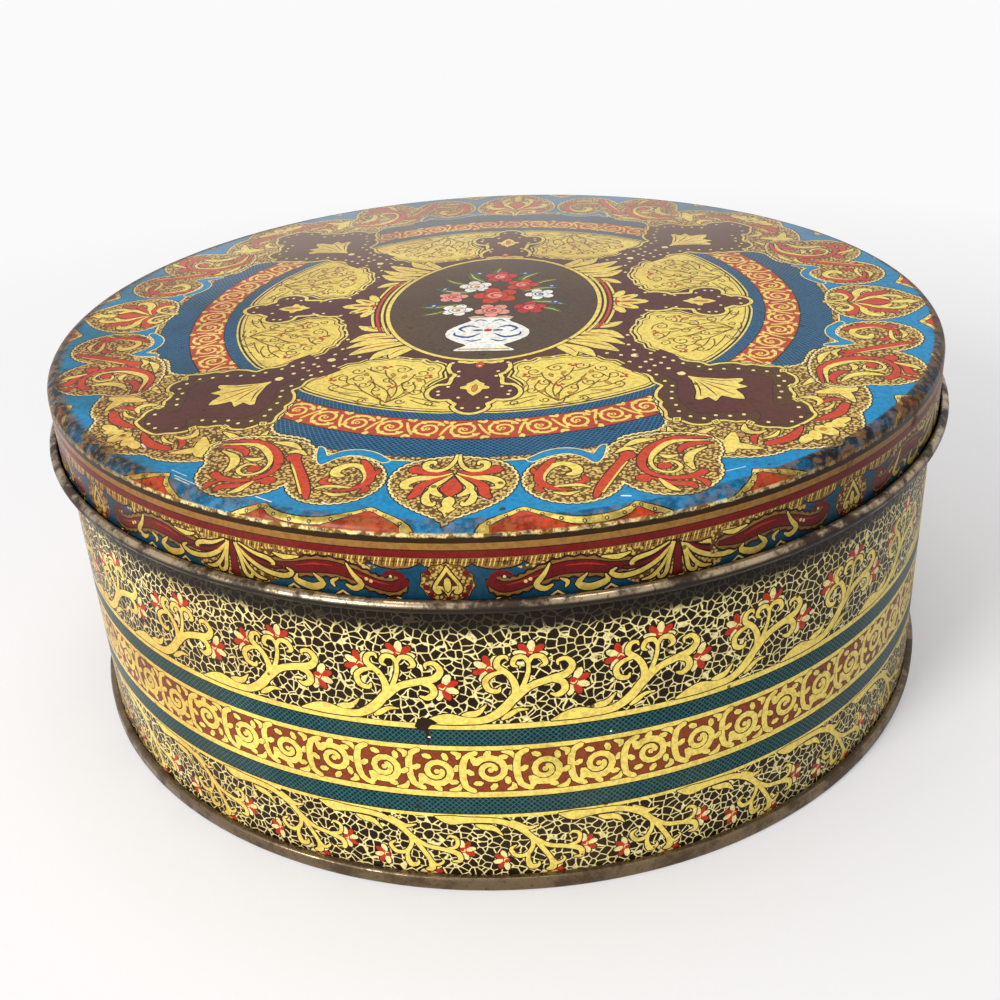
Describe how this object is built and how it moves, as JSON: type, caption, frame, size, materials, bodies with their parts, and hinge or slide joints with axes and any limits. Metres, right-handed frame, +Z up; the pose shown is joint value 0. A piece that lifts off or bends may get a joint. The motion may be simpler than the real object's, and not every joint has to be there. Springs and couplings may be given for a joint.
{
  "type": "round slip-lid cake tin",
  "caption": "Round printed tinplate cake tin with a lift-off slip lid, rolled edges and a double-seamed base.",
  "frame": {"origin": "centre of the ring that the tin stands on, at floor level", "axes": "+Z up along the axis of the tin, which is its shortest extent; -Y faces the viewer and the front of the print"},
  "size_m": [0.21, 0.21, 0.0825],
  "materials": {
    "lid_print": "glossy lithographed inks and varnish over tinplate, rubbed on the edge",
    "body_print": "glossy lithographed inks and varnish over tinplate",
    "bare_tinplate": "dulled bare tinplate with brown specks"
  },
  "bodies": {
    "body": {"body_wall": "body_print", "base": "bare_tinplate"},
    "lid": {"lid": "lid_print"}
  },
  "joints": [
    {"name": "lid_lift", "type": "slide", "parent": "body", "child": "lid", "axis": [0, 0, 1], "range_m": [0, 0.08]}
  ]
}
